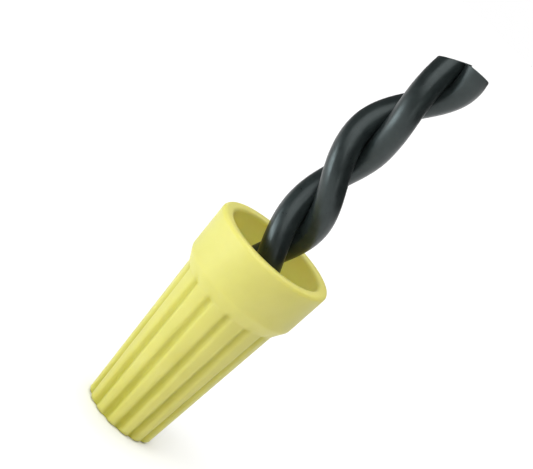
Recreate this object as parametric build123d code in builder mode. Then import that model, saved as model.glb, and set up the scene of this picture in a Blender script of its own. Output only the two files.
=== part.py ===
from build123d import *
import os
from math import atan, cos, degrees, pi, radians, sin, tan

# Twist-on wire connector screwed onto a pair of twisted building wires. Millimetres, +Z up.
# The origin is the middle of the connector's closed end, which is what it stands on. The
# mouth and the wires point up, and -Y is the front.

# Shell: one moulding, a fluted conical barrel under a plain flared skirt
shell_height = 23.6
tip_radius = 4.05
barrel_top_z = 16.9
barrel_top_radius = 5.58
skirt_base_z = 18.35
skirt_base_radius = 6.4
mouth_radius = 6.8
mouth_bore_radius = 5.5
skirt_floor_z = 18.6
skirt_floor_radius = 5.25
throat_z = 17.2
throat_radius = 4.45
end_wall = 1.6
tip_round = 0.5
shoulder_round = 0.9
lip_round = 0.45
bore_round = 0.5

# Flutes: straight grooves that run out through the closed end and die away under the skirt
flute_count = 14
flute_tool_radius = 0.4
flute_depth_tip = 0.46
flute_depth_top = 0.28
flute_top_z = 16.6
flute_edge_round = 0.6
front_crest_angle = -92

# Spring: square wire wound into a right-hand cone, one corner of the wire facing inward
spring_wire = 0.9
spring_pitch = 1.5
spring_turns = 7
spring_bite_radius = 1.7
spring_taper = 0.1
spring_end_gap = 0.1
spring_seat_clearance = 0.06
retaining_bead_height = 0.22
retaining_bead_width = 0.3

# Wires: solid copper, PVC insulation and a nylon jacket, twisted left-handed as a pair
conductor_radius = 0.815
insulation_radius = 1.27
jacket_radius = 1.4
twist_pitch = 20.0
lobe_z = 28.05
pair_gap = 0.06
copper_tip_z = 2.4
bare_top_z = 12.0
strip_z = 14.4
route_points_per_turn = 12
pair_sway = [(23.5, 0.0), (38.0, -0.88), (49.0, 1.12)]
cut_tilt_back = 15.5
wires = {
    "a": {"phase": 180, "cut_z": 49.2, "cut_lean": 27},
    "b": {"phase": 0, "cut_z": 50.05, "cut_lean": 3},
}

os.makedirs("parts", exist_ok=True)


def barrel_radius(z):
    """Crest radius of the tapered barrel at height z."""
    return tip_radius + (barrel_top_radius - tip_radius) * z / barrel_top_z


# ---- Spring sizes that the shell's seat follows ----
spring_half_diagonal = spring_wire / 2 ** 0.5
spring_height = spring_pitch * spring_turns
spring_start_z = end_wall + spring_end_gap + spring_half_diagonal
spring_start_radius = spring_bite_radius + spring_half_diagonal
spring_top_z = spring_start_z + spring_height + spring_half_diagonal


def seat_radius(z):
    """Radius of the shell's conical seat, a running fit around the spring."""
    spring_outside = spring_start_radius + spring_half_diagonal + spring_taper * (z - spring_start_z)
    return spring_outside + spring_seat_clearance


# ---- Shell ----
bead_base_z = spring_top_z + 0.1
bead_low_z = bead_base_z + retaining_bead_height
bead_high_z = bead_low_z + retaining_bead_width
bead_top_z = bead_high_z + retaining_bead_height
bead_radius = seat_radius(bead_base_z) - retaining_bead_height

shell_corners = [
    # radius, height, round
    (tip_radius, 0, tip_round),
    (barrel_top_radius, barrel_top_z, shoulder_round),
    (skirt_base_radius, skirt_base_z, shoulder_round),
    (mouth_radius, shell_height, lip_round),
    (mouth_bore_radius, shell_height, lip_round),
    (skirt_floor_radius, skirt_floor_z, bore_round),
    (throat_radius, throat_z, bore_round),
    (seat_radius(bead_top_z), bead_top_z, 0),
    (bead_radius, bead_high_z, 0),
    (bead_radius, bead_low_z, 0),
    (seat_radius(bead_base_z), bead_base_z, 0),
    (seat_radius(end_wall), end_wall, bore_round),
]


def flute_tool_centre(z):
    """Centre of the flute tool at height z. It cuts deepest at the closed end."""
    depth = flute_depth_tip + (flute_depth_top - flute_depth_tip) * z / flute_top_z
    return Vector(barrel_radius(z) - depth + flute_tool_radius, 0, z)


flute_start = flute_tool_centre(-flute_tool_radius)
flute_end = flute_tool_centre(flute_top_z)

with BuildPart() as flute_tool:
    with BuildSketch(Plane(origin=flute_start, z_dir=flute_end - flute_start)):
        Circle(flute_tool_radius)
    extrude(amount=(flute_end - flute_start).length)
    with Locations(flute_end):
        Sphere(flute_tool_radius)

with BuildPart() as shell:
    with BuildSketch(Plane.XZ):
        with BuildLine():
            outline = [(0, 0)] + [(radius, z) for radius, z, _ in shell_corners] + [(0, end_wall)]
            FilletPolyline(*outline, radius=[corner_round for _, _, corner_round in shell_corners])
            Line(outline[-1], outline[0])
        make_face()
    revolve(axis=Axis.Z)
    flute_angle = 360 / flute_count
    with PolarLocations(0, flute_count, start_angle=front_crest_angle + flute_angle / 2):
        add(flute_tool.part, mode=Mode.SUBTRACT)
    fillet(shell.edges(Select.LAST), radius=flute_edge_round)

shell.part.label = "shell"
export_step(shell.part, "parts/shell.step")

# ---- Spring ----
with BuildPart() as spring:
    with BuildLine() as spring_coil:
        Helix(
            pitch=spring_pitch,
            height=spring_height,
            radius=spring_start_radius,
            center=(0, 0, spring_start_z),
            cone_angle=degrees(atan(spring_taper)),
        )
    with BuildSketch(Plane(origin=spring_coil.line @ 0, x_dir=(1, 0, 0), z_dir=spring_coil.line % 0)):
        Rectangle(spring_wire, spring_wire, rotation=45)
    sweep(is_frenet=True)

spring.part.label = "spring"
export_step(spring.part, "parts/spring.step")


# ---- Wires ----
def ease(t):
    """Smooth step from 0 to 1."""
    t = min(max(t, 0), 1)
    return t * t * (3 - 2 * t)


def pair_centre_x(z):
    """Sideways sway of the twisted pair's middle line at height z."""
    x = pair_sway[0][1]
    for (low_z, low_x), (high_z, high_x) in zip(pair_sway, pair_sway[1:]):
        x += (high_x - low_x) * ease((z - low_z) / (high_z - low_z))
    return x


def strand_offset(z):
    """Distance of each wire from the pair's middle line: bare copper lies closer than jackets."""
    bare = conductor_radius + pair_gap / 2
    jacketed = jacket_radius + pair_gap / 2
    return bare + (jacketed - bare) * ease((z - bare_top_z) / (strip_z - bare_top_z))


def strand_point(z, phase):
    """Corner of a wire's route at height z: its arcs pass inside it, at the strand's offset."""
    angle = radians(phase - 360 * (z - lobe_z) / twist_pitch)
    reach = strand_offset(z) / cos(pi / route_points_per_turn)
    return Vector(pair_centre_x(z) + reach * cos(angle), reach * sin(angle), z)


def strand_route(phase, top_z):
    """Corners of a wire's route, evenly spaced up the twist, and the round at each."""
    step = twist_pitch / route_points_per_turn
    count = int((top_z - copper_tip_z) / step) + 3
    points = [strand_point(copper_tip_z + step * index, phase) for index in range(count)]
    rounds = []
    for before, corner, after in zip(points, points[1:], points[2:]):
        shorter_run = min((corner - before).length, (after - corner).length)
        turn = radians((corner - before).get_angle(after - corner))
        rounds.append(0.45 * shorter_run / tan(turn / 2))
    return points, rounds


def cut_plane(origin, wire):
    """Plane of a side-cutter's cut: tilted back, and leaning to the left by the wire's own lean."""
    lean = radians(wire["cut_lean"])
    tilt = radians(cut_tilt_back)
    return Plane(origin=origin, z_dir=(-sin(lean), cos(lean) * sin(tilt), cos(lean) * cos(tilt)))


coverings = [
    # layer, inside radius, outside radius
    ("insulation", conductor_radius, insulation_radius),
    ("jacket", insulation_radius, jacket_radius),
]

for name, wire in wires.items():
    points, rounds = strand_route(wire["phase"], wire["cut_z"])
    with BuildLine() as route:
        FilletPolyline(*points, radius=rounds)
    path = route.wire()
    start_plane = Plane(origin=path @ 0, z_dir=path % 0)
    strip_at = (strip_z - copper_tip_z) / (points[-1].Z - copper_tip_z)
    strip_plane = Plane(origin=path @ strip_at, z_dir=path % strip_at)
    cut_at = (wire["cut_z"] - copper_tip_z) / (points[-1].Z - copper_tip_z)
    end_plane = cut_plane(path @ cut_at, wire)

    with BuildPart() as conductor:
        with BuildSketch(start_plane):
            Circle(conductor_radius)
        sweep(path=path)
        whole_volume = conductor.part.volume
        split(bisect_by=end_plane, keep=Keep.BOTTOM)

    conductor.part.label = f"conductor_{name}"
    export_step(conductor.part, f"parts/conductor_{name}.step")

    for layer, inner_radius, outer_radius in coverings:
        with BuildPart() as covering:
            with BuildSketch(start_plane):
                Circle(outer_radius)
            sweep(path=path)
            with BuildSketch(start_plane):
                Circle(inner_radius)
            sweep(path=path, mode=Mode.SUBTRACT)
            split(bisect_by=strip_plane, keep=Keep.TOP)
            split(bisect_by=end_plane, keep=Keep.BOTTOM)
        covering.part.label = f"{layer}_{name}"
        export_step(covering.part, f"parts/{layer}_{name}.step")

    expected = pi * conductor_radius ** 2 * path.length
    print(f"wire {name}: route {path.length:.2f} mm, volume / (section x length) {whole_volume / expected:.4f}")
    print(f"wire {name}: arc radii {min(rounds):.1f} to {max(rounds):.1f} mm")
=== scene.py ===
import math

import bpy
import numpy as np
from mathutils import Matrix, Vector


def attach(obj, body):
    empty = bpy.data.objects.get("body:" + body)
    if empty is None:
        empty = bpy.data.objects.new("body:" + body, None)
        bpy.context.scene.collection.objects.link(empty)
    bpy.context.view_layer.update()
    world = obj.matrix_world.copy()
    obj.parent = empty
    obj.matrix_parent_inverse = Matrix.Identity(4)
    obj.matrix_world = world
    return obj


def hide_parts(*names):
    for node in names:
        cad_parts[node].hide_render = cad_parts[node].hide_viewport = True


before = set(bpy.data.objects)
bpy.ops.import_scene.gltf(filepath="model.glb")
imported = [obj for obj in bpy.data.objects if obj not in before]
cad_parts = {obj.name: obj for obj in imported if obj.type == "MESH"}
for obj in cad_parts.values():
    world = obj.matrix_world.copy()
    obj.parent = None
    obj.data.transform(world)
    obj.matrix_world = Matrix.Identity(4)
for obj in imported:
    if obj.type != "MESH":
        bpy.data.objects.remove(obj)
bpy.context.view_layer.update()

MM = 0.001

# ---- Camera: looks down into the mouth, rolled so that the connector leans to the right ----
CAMERA_ELEVATION = math.radians(15.5)
CAMERA_ROLL = math.radians(43.6)
CAMERA_DISTANCE = 0.32
VIEW_WIDTH = 0.05197
VIEW_CENTRE = Vector((-1.75, 0, 23.93)) * MM


def make_camera():
    back = Vector((0, -math.cos(CAMERA_ELEVATION), math.sin(CAMERA_ELEVATION)))
    level_up = Vector((0, math.sin(CAMERA_ELEVATION), math.cos(CAMERA_ELEVATION)))
    level_right = Vector((1, 0, 0))
    right = level_right * math.cos(CAMERA_ROLL) + level_up * math.sin(CAMERA_ROLL)
    up = level_up * math.cos(CAMERA_ROLL) - level_right * math.sin(CAMERA_ROLL)
    data = bpy.data.cameras.new("camera")
    data.sensor_width = 36
    data.lens = data.sensor_width * CAMERA_DISTANCE / VIEW_WIDTH
    data.clip_start = 0.01
    data.clip_end = 10
    camera = bpy.data.objects.new("camera", data)
    turn = Matrix((right, up, back)).transposed().to_4x4()
    camera.matrix_world = Matrix.Translation(VIEW_CENTRE + back * CAMERA_DISTANCE) @ turn
    bpy.context.scene.collection.objects.link(camera)
    bpy.context.scene.camera = camera


# ---- Sizes in millimetres, the same as the CAD part's unless a note says otherwise ----
TIP_RADIUS = 4.05
TIP_ROUND = 0.5
BARREL_TOP_RADIUS = 5.58
BARREL_TOP_Z = 16.9
SHELL_HEIGHT = 23.6
END_WALL = 1.6
SHELL_OUTLINE = [
    # radius, height, round: up the outside, over the lip and down the inside
    (BARREL_TOP_RADIUS, BARREL_TOP_Z, 0.9),
    (6.4, 18.35, 0.9),
    (6.8, SHELL_HEIGHT, 0.45),
    (5.5, SHELL_HEIGHT, 0.45),
    (5.25, 18.6, 0.5),
    (4.45, 17.2, 0.5),
    (4.19, 14.32, 0.08),
    (3.94, 14.1, 0.08),
    (3.94, 13.8, 0.08),
    (4.19, 13.58, 0.08),
    (2.96, END_WALL, 0.5),
]
# In the visual model only: a shallow round mark of the mould's gate in the closed end
GATE_DEPTH = 0.12

FLUTES = 14
FLUTE_TOOL_RADIUS = 0.4
FLUTE_DEPTH_TIP = 0.46
FLUTE_DEPTH_TOP = 0.28
FLUTE_TOP_Z = 16.6
FLUTE_EDGE_ROUND = 0.6
FRONT_CREST = math.radians(-92)

TWIST_PITCH = 20.0
LOBE_Z = 28.05
PAIR_SWAY = [(23.5, 0.0), (38.0, -0.88), (49.0, 1.12)]
BARE_TOP_Z = 12.0
STRIP_Z = 14.4
COPPER_TIP_Z = 2.4
CONDUCTOR_RADIUS = 0.815
INSULATION_RADIUS = 1.27
JACKET_RADIUS = 1.4
# Soft jackets press together where they cross. The CAD wires are 0.06 apart.
PAIR_GAP = -0.08
WIRES = {
    "a": {"phase": math.pi, "cut_z": 49.2, "lean": math.radians(27)},
    "b": {"phase": 0.0, "cut_z": 50.05, "lean": math.radians(3)},
}
CUT_TILT = math.radians(15.5)

SPRING_WIRE = 0.9
SPRING_PITCH = 1.5
SPRING_TURNS = 7
SPRING_START_RADIUS = 2.336
SPRING_START_Z = 2.336
SPRING_TAPER = 0.1


# ---- Mesh helpers ----
def ease(t):
    """Smooth step from 0 to 1."""
    t = np.clip(t, 0, 1)
    return t * t * (3 - 2 * t)


def add_piece(name, vertices, faces, body, material_made, sharp):
    """A smooth-shaded mesh piece, given in millimetres, riding on a CAD body."""
    mesh = bpy.data.meshes.new(name)
    mesh.from_pydata((np.asarray(vertices) * MM).tolist(), [], faces)
    mesh.shade_smooth()
    mesh.set_sharp_from_angle(angle=math.radians(sharp))
    mesh.materials.append(material_made)
    piece = bpy.data.objects.new(name, mesh)
    bpy.context.scene.collection.objects.link(piece)
    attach(piece, body)
    return piece


def point_values(piece, name, kind, values):
    """Stores a number or a vector at each vertex, for the piece's material to read."""
    attribute = piece.data.attributes.new(name, kind, "POINT")
    field = "value" if kind == "FLOAT" else "vector"
    attribute.data.foreach_set(field, np.asarray(values, np.float32).ravel())


def grid_faces(rows, around, wrap=False):
    """Quads between closed rings of vertices. With wrap the last ring joins the first."""
    faces = []
    for row in range(rows if wrap else rows - 1):
        here = row * around
        above = (row + 1) % rows * around
        for k in range(around):
            n = (k + 1) % around
            faces.append((here + k, here + n, above + n, above + k))
    return faces


def fans(rows, around):
    """Triangles from the first and last rings to the two extra vertices that follow all rings."""
    low, top = rows * around, (rows - 1) * around
    return ([((k + 1) % around, k, low) for k in range(around)]
            + [(top + k, top + (k + 1) % around, low + 1) for k in range(around)])


def rounded(start, corners, end, arc_points):
    """An open outline from start to end, with an arc at each (radius, z, round) corner."""
    points = [np.array(start, float)]
    for before, corner, after in zip([start] + corners, corners, corners[1:] + [end]):
        here = np.array(corner[:2], float)
        to_before = np.array(before[:2]) - here
        to_after = np.array(after[:2]) - here
        to_before = to_before / np.linalg.norm(to_before)
        to_after = to_after / np.linalg.norm(to_after)
        half = math.acos(np.clip(to_before @ to_after, -1, 1)) / 2
        bisector = (to_before + to_after) / np.linalg.norm(to_before + to_after)
        centre = here + bisector * corner[2] / math.sin(half)
        arc_start = here + to_before * corner[2] / math.tan(half) - centre
        arc_end = here + to_after * corner[2] / math.tan(half) - centre
        for t in np.linspace(0, 1, arc_points):
            swing = arc_start * (1 - t) + arc_end * t
            points.append(centre + swing / np.linalg.norm(swing) * corner[2])
    points.append(np.array(end, float))
    return np.array(points)


def spaced(points, step):
    """Adds points along an outline so that none are further apart than step."""
    out = [points[0]]
    for a, b in zip(points, points[1:]):
        count = max(1, int(math.ceil(np.linalg.norm(b - a) / step)))
        out += [a + (b - a) * k / count for k in range(1, count + 1)]
    return np.array(out)


# ---- Materials ----
# The part of a noise's range over which a ramp runs from its low colour to its high one
RAMP_START = 0.3
RAMP_END = 0.7


def material(name):
    made = bpy.data.materials.new(name)
    made.use_nodes = True
    tree = made.node_tree
    return made, tree, tree.nodes["Principled BSDF"]


def add_node(tree, kind, inputs=None, **settings):
    """A node with its settings, and with each input linked to a socket or set to a value."""
    node = tree.nodes.new(kind)
    for key, value in settings.items():
        setattr(node, key, value)
    for key, value in (inputs or {}).items():
        if isinstance(value, bpy.types.NodeSocket):
            tree.links.new(value, node.inputs[key])
        else:
            node.inputs[key].default_value = value
    return node


def mesh_value(tree, name, output):
    """What the mesh's own point values of this name say."""
    return add_node(tree, "ShaderNodeAttribute", attribute_name=name).outputs[output]


def noise(tree, vector, scale, detail, roughness):
    return add_node(tree, "ShaderNodeTexNoise", {
        "Vector": vector, "Scale": scale, "Detail": detail, "Roughness": roughness}).outputs["Fac"]


def ramp(tree, value, low, high):
    """A colour, or a single number for a grey, that runs from low to high with the value."""
    node = add_node(tree, "ShaderNodeValToRGB", {"Fac": value})
    places = (RAMP_START, RAMP_END)
    for element, place, colour in zip(node.color_ramp.elements, places, (low, high)):
        element.position = place
        element.color = (*colour, 1) if isinstance(colour, tuple) else (colour,) * 3 + (1,)
    return node.outputs["Color"]


def mixed(tree, factor, first, second):
    """The first colour where the factor is 0 and the second where it is 1."""
    colour_inputs = {0: factor, 6: first, 7: second}
    return add_node(tree, "ShaderNodeMix", colour_inputs, data_type="RGBA").outputs[2]


def bump(tree, shader, height, strength, distance, under=None):
    """Bumps the shader's normal, on top of an earlier bump if one is given as under."""
    inputs = {"Height": height, "Strength": strength, "Distance": distance}
    if under is not None:
        inputs["Normal"] = under
    normal = add_node(tree, "ShaderNodeBump", inputs).outputs["Normal"]
    tree.links.new(normal, shader.inputs["Normal"])
    return normal


def finish(tree, shader, colour, roughness):
    tree.links.new(colour, shader.inputs["Base Color"])
    tree.links.new(roughness, shader.inputs["Roughness"])


def wire_coordinates(tree):
    """Position around and along a wire, which its mesh carries, so that marks follow the twist."""
    return mesh_value(tree, "along_wire", "Vector")


def stretched(tree, vector, factor):
    """Squeezes the along-wire coordinate, which draws noise out into streaks."""
    squeeze = {"Vector": vector, "Scale": (1, 1, factor)}
    return add_node(tree, "ShaderNodeMapping", squeeze).outputs["Vector"]


def shell_plastic():
    """Yellow thermoplastic: satin, with the mould's fine spark texture and some light passing
    through it. The grooves' darker yellow is painted shade, and the lighter yellow inside the
    mouth is painted light."""
    made, tree, shader = material("shell_plastic")
    where = add_node(tree, "ShaderNodeTexCoord").outputs["Object"]
    # Masks for where the painted shade in the grooves and the painted light inside the mouth go
    groove = mesh_value(tree, "groove", "Fac")
    inside = mesh_value(tree, "inside", "Fac")
    flow = noise(tree, where, 260, 3, 0.55)
    grain = noise(tree, where, 7000, 2, 0.6)
    crest = ramp(tree, flow, (0.568, 0.530, 0.125), (0.608, 0.568, 0.150))
    # Painted shade: a darker, deeper yellow in the flutes' grooves
    groove_painted_shade = ramp(tree, flow, (0.455, 0.420, 0.032), (0.500, 0.462, 0.044))
    # Painted light: a much lighter yellow inside the mouth
    inside_painted_light = ramp(tree, flow, (0.97, 0.890, 0.240), (0.98, 0.910, 0.280))
    outside = mixed(tree, groove, crest, groove_painted_shade)
    finish(tree, shader, mixed(tree, inside, outside, inside_painted_light), ramp(tree, grain, 0.42, 0.54))
    soft = bump(tree, shader, noise(tree, where, 420, 2, 0.4), 0.10, 0.0002)
    bump(tree, shader, grain, 0.22, 0.00002, soft)
    shader.inputs["IOR"].default_value = 1.49
    shader.inputs["Subsurface Weight"].default_value = 0.6
    shader.inputs["Subsurface Radius"].default_value = (1.0, 0.85, 0.3)
    shader.inputs["Subsurface Scale"].default_value = 0.0018
    return made


def jacket_nylon():
    """Black wire under a clear nylon skin: glossy, with long drawn wrinkles and handling scuffs."""
    made, tree, shader = material("jacket_nylon")
    where = wire_coordinates(tree)
    cloud = noise(tree, where, 900, 3, 0.55)
    scuff = noise(tree, where, 2600, 4, 0.7)
    wrinkle = noise(tree, stretched(tree, where, 0.05), 1300, 1, 0.4)
    line = noise(tree, stretched(tree, where, 0.03), 7000, 3, 0.6)
    black = ramp(tree, cloud, (0.0065, 0.0095, 0.0095), (0.013, 0.018, 0.0175))
    finish(tree, shader, black, ramp(tree, scuff, 0.27, 0.38))
    wrinkles = bump(tree, shader, wrinkle, 0.5, 0.00012)
    lines = bump(tree, shader, line, 0.25, 0.00002, wrinkles)
    bump(tree, shader, scuff, 0.10, 0.00003, lines)
    shader.inputs["IOR"].default_value = 1.53
    shader.inputs["Specular Tint"].default_value = (0.88, 1.0, 1.0, 1)
    return made


def insulation_pvc():
    """Black PVC, seen only where the wire is cut and where it is stripped."""
    made, tree, shader = material("insulation_pvc")
    where = wire_coordinates(tree)
    cloud = noise(tree, where, 3000, 4, 0.6)
    smear = noise(tree, stretched(tree, where, 0.2), 9000, 3, 0.6)
    black = ramp(tree, cloud, (0.012, 0.013, 0.013), (0.030, 0.032, 0.032))
    finish(tree, shader, black, ramp(tree, smear, 0.5, 0.68))
    bump(tree, shader, smear, 0.4, 0.00003)
    return made


def copper():
    """Drawn copper: warm metal with die lines along it and the first dull patches of oxide."""
    made, tree, shader = material("copper")
    where = wire_coordinates(tree)
    patch = noise(tree, where, 1100, 4, 0.6)
    line = noise(tree, stretched(tree, where, 0.02), 12000, 3, 0.6)
    metal = ramp(tree, patch, (0.58, 0.235, 0.115), (0.86, 0.42, 0.24))
    finish(tree, shader, metal, ramp(tree, patch, 0.42, 0.27))
    bump(tree, shader, line, 0.35, 0.00002)
    shader.inputs["Metallic"].default_value = 1
    return made


def spring_steel():
    """Zinc-plated spring wire: pale steel with lines along the wire and cloudy plating."""
    made, tree, shader = material("spring_steel")
    where = wire_coordinates(tree)
    cloud = noise(tree, where, 1500, 4, 0.6)
    line = noise(tree, stretched(tree, where, 0.02), 9000, 3, 0.6)
    metal = ramp(tree, cloud, (0.50, 0.50, 0.48), (0.68, 0.68, 0.67))
    finish(tree, shader, metal, ramp(tree, line, 0.28, 0.42))
    bump(tree, shader, line, 0.3, 0.00002)
    shader.inputs["Metallic"].default_value = 1
    return made


# ---- Shell ----
def crest_radius(z):
    """Radius of the tapered barrel at height z, between the flutes."""
    return TIP_RADIUS + (BARREL_TOP_RADIUS - TIP_RADIUS) * z / BARREL_TOP_Z


def flute_cut(radius, z, lateral):
    """How deep a flute cuts below this radius at height z, sideways from the flute's middle."""
    fade = min(z / FLUTE_TOP_Z, 1)
    depth = FLUTE_DEPTH_TIP + (FLUTE_DEPTH_TOP - FLUTE_DEPTH_TIP) * fade + radius - crest_radius(z)
    off = np.hypot(lateral, max(0, z - FLUTE_TOP_Z))
    tool_and_edge = FLUTE_TOOL_RADIUS + FLUTE_EDGE_ROUND
    edge = math.sqrt(tool_and_edge ** 2 - (tool_and_edge - depth) ** 2)
    under_crest = FLUTE_TOOL_RADIUS - depth
    floor = np.sqrt(np.maximum(0, FLUTE_TOOL_RADIUS ** 2 - off ** 2)) - under_crest
    brow = FLUTE_EDGE_ROUND - np.sqrt(np.maximum(0, FLUTE_EDGE_ROUND ** 2 - (off - edge) ** 2))
    meet = edge * FLUTE_TOOL_RADIUS / tool_and_edge
    return np.where(off < meet, floor, np.where(off < edge, brow, 0))


def shell_outline():
    """The shell's outline from the foot of the barrel to the middle of the bore's floor. It is
    finest where the flutes run out."""
    coarse_step, fine_step = 0.6, 0.06
    bore_step = 0.9
    fine_z, fine_end_z = 16.0, 16.68
    floor_middle = (0.05, END_WALL)
    arc_points = 8
    foot = (crest_radius(TIP_ROUND), TIP_ROUND)
    profile = rounded(foot, SHELL_OUTLINE, floor_middle, arc_points)
    heights = np.concatenate([
        np.arange(TIP_ROUND, fine_z, coarse_step),
        np.arange(fine_z, fine_end_z, fine_step)])
    wall = [(crest_radius(z), z) for z in heights]
    shoulder = spaced(profile[1:arc_points + 1], fine_step)
    rest = spaced(profile[arc_points:], bore_step)[1:]
    return np.vstack([wall, shoulder, rest])


def make_shell(material_made):
    per_flute = 28
    around = FLUTES * per_flute
    angle = FRONT_CREST + np.arange(around) * 2 * math.pi / around
    from_flute = (np.arange(around) % per_flute / per_flute - 0.5) * 2 * math.pi / FLUTES
    outline = shell_outline()
    flutes_end_z = 17.6
    lip = int(np.argmax(outline[:, 1]))
    rings, groove, inside = [], [], []

    # Each ring's third value is its share of painted shade in the grooves, the fourth its share of
    # painted light inside the mouth
    def add_ring(radius, z, grooved, inside_painted_light=0.0):
        height = np.broadcast_to(z, around)
        rings.append(np.column_stack([radius * np.cos(angle), radius * np.sin(angle), height]))
        groove.append(np.broadcast_to(grooved, around))
        inside.append(np.full(around, inside_painted_light))

    # The closed end: flat out to its rounded edge, which is tighter in the flutes. Its rings are
    # at these shares of the way out to the edge, and the gate's mark ends at gate_edge.
    tip_cut = flute_cut(crest_radius(TIP_ROUND), TIP_ROUND, from_flute * TIP_RADIUS)
    tip_groove = tip_cut / FLUTE_DEPTH_TIP
    tighter_in_flutes = 0.3
    edge_round = TIP_ROUND - tighter_in_flutes * tip_cut / FLUTE_DEPTH_TIP
    flat = outline[0][0] - tip_cut - edge_round
    shares = (0.10, 0.28, 0.30, 0.34, 0.50, 0.66, 0.82, 0.94)
    gate_edge, gate_slope = 0.33, 0.04
    for share in shares:
        add_ring(flat * share, GATE_DEPTH * float(ease((gate_edge - share) / gate_slope)), 0)
    edge_from, edge_to, edge_rings = -90, -8, 7
    for sweep in np.radians(np.linspace(edge_from, edge_to, edge_rings)):
        out, up = edge_round * math.cos(sweep), edge_round * math.sin(sweep)
        add_ring(flat + out, edge_round + up, tip_groove)

    # The painted light inside the mouth comes in over a few rings past the lip
    lip_rings, blend_rings = 5, 5
    for index, (radius, z) in enumerate(outline):
        if z < flutes_end_z and index < lip:
            cut = flute_cut(radius, z, from_flute * radius)
            add_ring(radius - cut, z, cut / FLUTE_DEPTH_TIP)
        else:
            add_ring(radius, z, 0, float(ease((index - lip - lip_rings) / blend_rings)))

    ends = [(0, 0, GATE_DEPTH), (0, 0, END_WALL)]
    faces = grid_faces(len(rings), around) + fans(len(rings), around)
    vertices = np.concatenate(rings + [ends])
    piece = add_piece(
        "shell_moulding", vertices, faces, "connector", material_made, 50)
    # These values place the material's painted shade in the grooves and painted light inside the
    # mouth
    point_values(piece, "groove", "FLOAT", np.concatenate(groove + [[0, 0]]))
    point_values(piece, "inside", "FLOAT", np.concatenate(inside + [[0, 1]]))
    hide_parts("shell")


# ---- Wires ----
def pair_centre_x(z):
    """Sideways sway of the twisted pair's middle line at heights z."""
    x = np.full_like(z, PAIR_SWAY[0][1])
    for (low_z, low_x), (high_z, high_x) in zip(PAIR_SWAY, PAIR_SWAY[1:]):
        x = x + (high_x - low_x) * ease((z - low_z) / (high_z - low_z))
    return x


def strand_centre(z, phase):
    """Middle line of one wire at heights z: it turns left-handed round the pair's middle line."""
    z = np.asarray(z, float)
    bare = CONDUCTOR_RADIUS + PAIR_GAP / 2
    covered = JACKET_RADIUS + PAIR_GAP / 2
    offset = bare + (covered - bare) * ease((z - BARE_TOP_Z) / (STRIP_Z - BARE_TOP_Z))
    turn = phase - 2 * math.pi * (z - LOBE_Z) / TWIST_PITCH
    return np.column_stack([pair_centre_x(z) + offset * np.cos(turn), offset * np.sin(turn), z])


def path_normals(points):
    """Two normals at each point of a path, carried along it without twisting."""
    tangent = np.gradient(points, axis=0)
    tangent /= np.linalg.norm(tangent, axis=1)[:, None]
    side = np.zeros_like(points)
    first = np.cross(tangent[0], (0, 1, 0))
    side[0] = first / np.linalg.norm(first)
    for k in range(1, len(points)):
        carried = side[k - 1] - tangent[k] * (side[k - 1] @ tangent[k])
        side[k] = carried / np.linalg.norm(carried)
    return side, np.cross(tangent, side)


def lengths(points):
    """Distance along a path to each of its points."""
    steps = np.linalg.norm(np.diff(points, axis=0), axis=1)
    return np.concatenate([[0], np.cumsum(steps)])


def cut_normal(lean):
    """Normal of a side-cutter's cut: tilted back, and leaning to the left by the wire's lean."""
    return np.array([
        -math.sin(lean),
        math.cos(lean) * math.sin(CUT_TILT),
        math.cos(lean) * math.cos(CUT_TILT)])


def make_layer(name, wire, low_z, inner, outer, material_made, node):
    """One layer of a wire: a rod if inner is 0, or else a tube. It is square at its low end and
    lies on the cutter's plane at the other."""
    around = 48
    edge_round = 0.05
    path_step = 0.1
    past_cut = 3
    ring_step = 0.3
    last_stretch = 3.0
    last_rings = 14
    near_cut = 80  # points at the path's end, among which every angle's line meets the cut

    angle = np.linspace(0, 2 * math.pi, around, endpoint=False)
    z = np.arange(low_z, wire["cut_z"] + past_cut, path_step)
    points = strand_centre(z, wire["phase"])
    side, over = path_normals(points)
    run = lengths(points)
    end = strand_centre([wire["cut_z"]], wire["phase"])[0]
    end_along = float(np.interp(wire["cut_z"], z, run))
    normal = cut_normal(wire["lean"])

    def place(along, radius):
        """Points at these distances along the wire, one for each angle round it."""
        def at(values):
            return np.column_stack([np.interp(along, run, values[:, axis]) for axis in range(3)])
        outward = at(side) * np.cos(angle)[:, None] + at(over) * np.sin(angle)[:, None]
        return at(points) + radius * outward

    def to_cut(radius, kept_back=0.0):
        """Distance along the wire at which each angle's line meets the cut."""
        tries = run[-near_cut:]
        beyond = np.array([(place(np.full(around, s), radius) - end) @ normal for s in tries])
        beyond = beyond + kept_back
        return np.array([np.interp(0, beyond[:, k], tries) for k in range(around)])

    def wall(radius, kept_back=0.0):
        """Rings from the low end to the cut: square at first, and tilting over the last stretch."""
        cut = to_cut(radius, kept_back)
        straight = end_along - last_stretch
        square = np.linspace(0, straight, int(straight / ring_step) + 1)
        steady = [np.full(around, s) for s in square]
        closing = [
            straight + (cut - straight) * k / last_rings for k in range(1, last_rings + 1)]
        return [(along, radius) for along in steady + closing]

    rim = outer - edge_round
    stations = [(np.zeros(around), rim)]
    stations += [
        (np.maximum(along, edge_round), radius) for along, radius in wall(outer, edge_round)]
    stations += [(to_cut(rim), rim)]
    if inner:
        stations += [(to_cut(inner), inner)] + wall(inner)[::-1][1:]
    rings = [place(*station) for station in stations]
    along_wire = [
        np.column_stack([radius * np.cos(angle), radius * np.sin(angle), along])
        for along, radius in stations]
    faces = grid_faces(len(rings), around, wrap=bool(inner))
    if not inner:
        rings.append(np.array([points[0], end]))
        along_wire.append(np.array([(0, 0, 0), (0, 0, end_along)]))
        faces += fans(len(stations), around)
    piece = add_piece(name, np.concatenate(rings), faces, "wires", material_made, 40)
    point_values(piece, "along_wire", "FLOAT_VECTOR", np.concatenate(along_wire) * MM)
    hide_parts(node)


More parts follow.
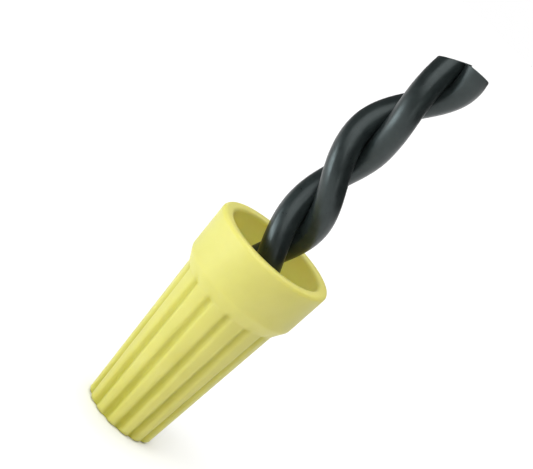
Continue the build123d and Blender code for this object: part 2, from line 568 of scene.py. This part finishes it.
def make_wires():
    layers = [
        # piece, low end, inside and outside radius, material, slot, CAD node
        ("copper_core", COPPER_TIP_Z, 0, CONDUCTOR_RADIUS,
         copper(), "copper", "conductor"),
        ("pvc_layer", STRIP_Z, CONDUCTOR_RADIUS, INSULATION_RADIUS,
         insulation_pvc(), "insulation_pvc", "insulation"),
        ("nylon_jacket", STRIP_Z, INSULATION_RADIUS, JACKET_RADIUS,
         jacket_nylon(), "jacket_nylon", "jacket"),
    ]
    for which, wire in WIRES.items():
        for name, low_z, inner, outer, made, slot, node in layers:
            make_layer(
                f"{name}_{which}", wire, low_z, inner, outer, made, f"{node}_{which}")


# ---- Spring ----
def spring_section():
    """Corners of the square wire as (outward, up). Each is just broken, and one faces inward."""
    half_diagonal = SPRING_WIRE / math.sqrt(2)
    blunt = 0.07
    section = []
    for turn in (0, math.pi / 2, math.pi, 3 * math.pi / 2):
        for side in (-blunt, blunt):
            section.append((
                math.cos(turn) * (half_diagonal - blunt) - math.sin(turn) * side,
                math.sin(turn) * (half_diagonal - blunt) + math.cos(turn) * side))
    return section


def make_spring(material_made):
    """Square wire wound up a cone."""
    points_per_turn = 60
    turns = np.linspace(0, SPRING_TURNS, SPRING_TURNS * points_per_turn + 1)
    z = SPRING_START_Z + SPRING_PITCH * turns
    reach = SPRING_START_RADIUS + SPRING_TAPER * SPRING_PITCH * turns
    angle = 2 * math.pi * turns
    points = np.column_stack([reach * np.cos(angle), reach * np.sin(angle), z])
    outward = np.column_stack([np.cos(angle), np.sin(angle), np.zeros_like(angle)])
    run = lengths(points)
    section = spring_section()
    vertices, along_wire = [], []
    for place, direction, along in zip(points, outward, run):
        for out, rise in section:
            vertices.append(place + direction * out + np.array([0, 0, rise]))
            along_wire.append((out, rise, along))
    vertices += [points[0], points[-1]]
    along_wire += [(0, 0, 0), (0, 0, run[-1])]
    faces = grid_faces(len(points), len(section)) + fans(len(points), len(section))
    piece = add_piece("spring_coil", vertices, faces, "spring", material_made, 25)
    point_values(piece, "along_wire", "FLOAT_VECTOR", np.array(along_wire) * MM)
    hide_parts("spring")


# ---- Studio, in metres ----
FLOOR_RADIUS = 0.3
FLOOR_SIDES = 96
FLOOR_Z = -0.00002
# Strength of the world's light from each side
WORLD_LEFT = 0.15
WORLD_RIGHT = 0.05
LIGHTS = [
    # name, place, aim, size, radiance, colour
    ("top", (0.05, 0.40, 0.9), (0.05, 0.35, 0), (0.9, 0.9), 3.0, (1, 1, 1)),
    ("front", (-0.1, -0.42, 0.62), (0, 0, 0.02), (1.0, 1.0), 2.05, (1, 1, 1)),
    ("key", (-0.040, -0.022, 0.017), (0, 0, 0.054), (0.034, 0.018), 6.4, (0.86, 0.96, 1.0)),
    ("side", (0.25, -0.35, 0.04), (0, 0, 0.03), (0.12, 0.12), 1.9, (1, 1, 1)),
]


def floor_material():
    made, tree, shader = material("studio_floor")
    where = add_node(tree, "ShaderNodeTexCoord").outputs["Object"]
    pale = ramp(tree, noise(tree, where, 40, 3, 0.5), 0.93, 0.95)
    tree.links.new(pale, shader.inputs["Base Color"])
    shader.inputs["Roughness"].default_value = 0.9
    shader.inputs["Specular IOR Level"].default_value = 0.2
    return made


def make_floor():
    """A round pale floor, just under what the connector stands on. The white world takes over
    past its edge."""
    mesh = bpy.data.meshes.new("floor")
    rim = [
        (FLOOR_RADIUS * math.cos(turn), FLOOR_RADIUS * math.sin(turn), FLOOR_Z)
        for turn in np.linspace(0, 2 * math.pi, FLOOR_SIDES, endpoint=False)]
    mesh.from_pydata(rim, [], [tuple(range(FLOOR_SIDES))])
    mesh.materials.append(floor_material())
    floor = bpy.data.objects.new("floor", mesh)
    bpy.context.scene.collection.objects.link(floor)


def add_light(name, place, aim, size, radiance, colour):
    """A rectangular light that is unseen itself. Its power comes from its size and radiance."""
    data = bpy.data.lights.new(name, "AREA")
    data.shape = "RECTANGLE"
    data.size, data.size_y = size
    data.energy = radiance * math.pi * size[0] * size[1]
    data.color = colour
    light = bpy.data.objects.new(name, data)
    light.location = place
    light.rotation_euler = (Vector(aim) - Vector(place)).to_track_quat("-Z", "Y").to_euler()
    light.visible_camera = False
    bpy.context.scene.collection.objects.link(light)


def make_world():
    """Plain white where the camera sees it. It lights the scene only weakly, more from the left."""
    world = bpy.data.worlds.new("studio")
    world.use_nodes = True
    tree = world.node_tree
    direction = add_node(tree, "ShaderNodeTexCoord").outputs["Generated"]
    across = add_node(tree, "ShaderNodeSeparateXYZ", {"Vector": direction}).outputs["X"]
    level = add_node(tree, "ShaderNodeMapRange", {
        "Value": across, "From Min": -1, "From Max": 1,
        "To Min": WORLD_LEFT, "To Max": WORLD_RIGHT}).outputs["Result"]
    seen = add_node(tree, "ShaderNodeLightPath").outputs["Is Camera Ray"]
    strength = add_node(tree, "ShaderNodeMath", {0: seen, 1: level}, operation="MAXIMUM").outputs[0]
    background = tree.nodes["Background"]
    tree.links.new(strength, background.inputs["Strength"])
    background.inputs["Color"].default_value = (1, 1, 1, 1)
    bpy.context.scene.world = world


def make_studio():
    """Big soft lights above and in front, a small cool key low on the left, and a fill on the
    right."""
    make_world()
    bpy.context.scene.view_settings.view_transform = "Standard"
    for light in LIGHTS:
        add_light(*light)
    make_floor()


make_camera()
make_shell(shell_plastic())
make_wires()
make_spring(spring_steel())
make_studio()
